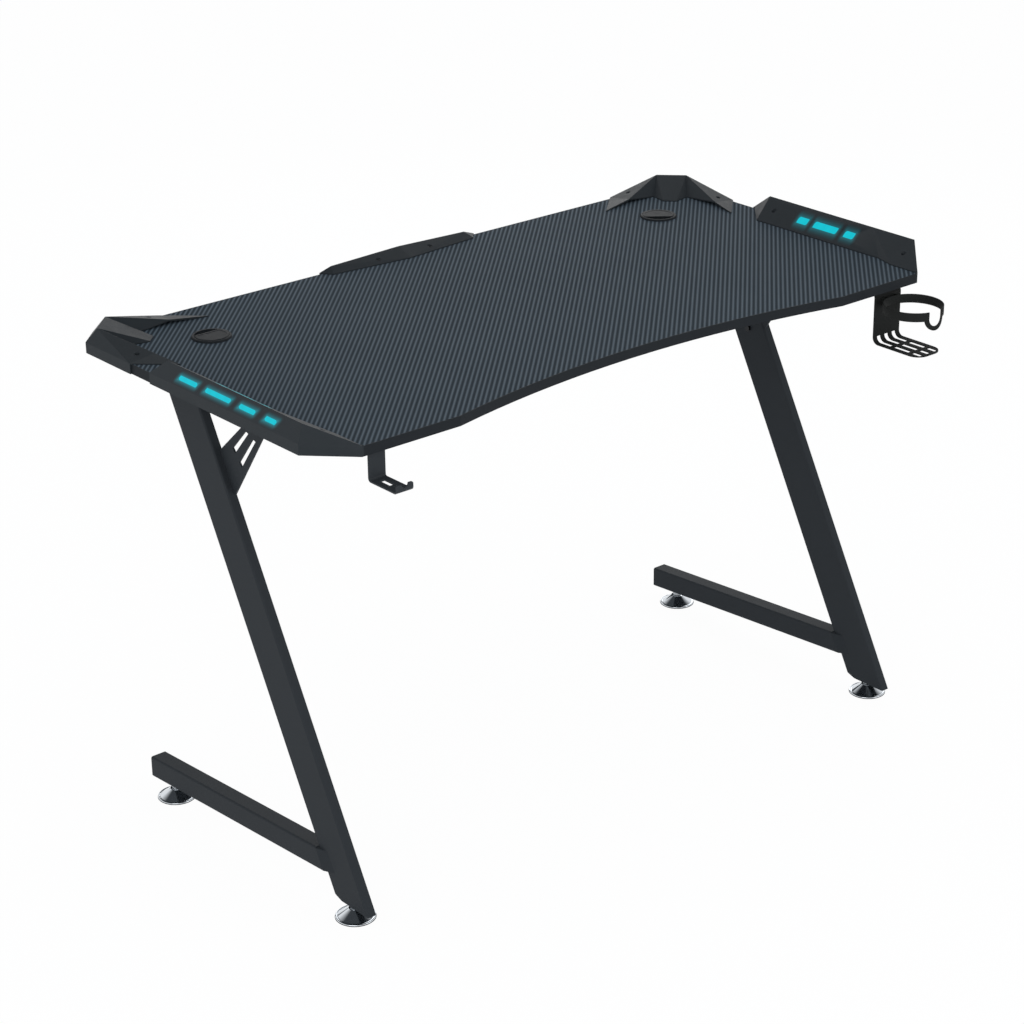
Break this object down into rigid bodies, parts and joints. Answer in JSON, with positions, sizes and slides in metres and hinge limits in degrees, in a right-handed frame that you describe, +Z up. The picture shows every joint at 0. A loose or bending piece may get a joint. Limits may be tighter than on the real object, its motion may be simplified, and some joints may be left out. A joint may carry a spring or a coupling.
{
  "type": "gaming desk",
  "caption": "Gaming desk with a swept front edge, faceted light bars and corner caps, leaning tube legs on levelling feet, headphone hook and cup holder.",
  "frame": {"origin": "on the floor, under the middle of the whole object's box", "axes": "+X to the user's right along the desk's length, +Y from the user to the back edge, +Z up"},
  "size_m": [1.2, 0.7074, 0.78],
  "materials": {
    "board": "board with a dark ribbed laminate",
    "edge": "smooth dark edge band",
    "trim": "fine-grained dark plastic",
    "lens": "lit translucent plastic",
    "circuit": "white circuit strip with chips",
    "grommet": "dark plastic",
    "plug": "black plastic",
    "frame": "satin black powder coat",
    "steel": "dull zinc-coated steel",
    "bracket": "dark textured coat",
    "socket": "black plastic",
    "chrome": "bright chrome"
  },
  "bodies": {
    "desk": {"desktop_board": "board", "edge_band": "edge", "corner_cap_left": "trim", "corner_cap_right": "trim", "light_bar_left": "trim", "light_bar_right": "trim", "lens_left": "lens", "lens_right": "lens", "led_board_left": "circuit", "led_board_right": "circuit", "rear_trim": "trim", "grommet_sleeve_left": "grommet", "grommet_sleeve_right": "grommet", "leg_left": "frame", "leg_right": "frame", "base_bar_left": "frame", "base_bar_right": "frame", "base_plug_left": "plug", "base_plug_right": "plug", "top_bar_left": "frame", "top_bar_right": "frame", "top_plugs": "plug", "gusset_left": "frame", "gusset_right": "frame", "leg_plug_left": "plug", "leg_plug_right": "plug", "foot_bushes": "steel", "front_beam": "frame", "rear_beam": "frame", "beam_plates": "frame", "beam_bolts": "steel", "leg_bolts": "steel", "board_screws": "steel", "cap_screws": "steel", "bar_screws": "steel", "trim_screws": "steel", "hook_screws": "steel", "holder_screws": "steel", "headphone_hook": "bracket", "cup_holder": "bracket", "cup_ring": "bracket", "power_sockets": "socket"},
    "foot_front_left": {"foot_cup_front_left": "chrome", "foot_stud_front_left": "steel"},
    "foot_front_right": {"foot_cup_front_right": "chrome", "foot_stud_front_right": "steel"},
    "foot_rear_left": {"foot_cup_rear_left": "chrome", "foot_stud_rear_left": "steel"},
    "foot_rear_right": {"foot_cup_rear_right": "chrome", "foot_stud_rear_right": "steel"},
    "cover_left": {"grommet_cover_left": "grommet"},
    "cover_right": {"grommet_cover_right": "grommet"}
  },
  "joints": [
    {"name": "foot_front_left_level", "type": "slide", "parent": "desk", "child": "foot_front_left", "axis": [0, 0, -1], "range_m": [0, 0.012]},
    {"name": "foot_front_right_level", "type": "slide", "parent": "desk", "child": "foot_front_right", "axis": [0, 0, -1], "range_m": [0, 0.012]},
    {"name": "foot_rear_left_level", "type": "slide", "parent": "desk", "child": "foot_rear_left", "axis": [0, 0, -1], "range_m": [0, 0.012]},
    {"name": "foot_rear_right_level", "type": "slide", "parent": "desk", "child": "foot_rear_right", "axis": [0, 0, -1], "range_m": [0, 0.012]},
    {"name": "cover_left_turn", "type": "hinge", "parent": "desk", "child": "cover_left", "pos_m": [-0.446, 0.22275, 0.75], "axis": [0, 0, 1], "continuous": true},
    {"name": "cover_right_turn", "type": "hinge", "parent": "desk", "child": "cover_right", "pos_m": [0.446, 0.22275, 0.75], "axis": [0, 0, 1], "continuous": true}
  ]
}
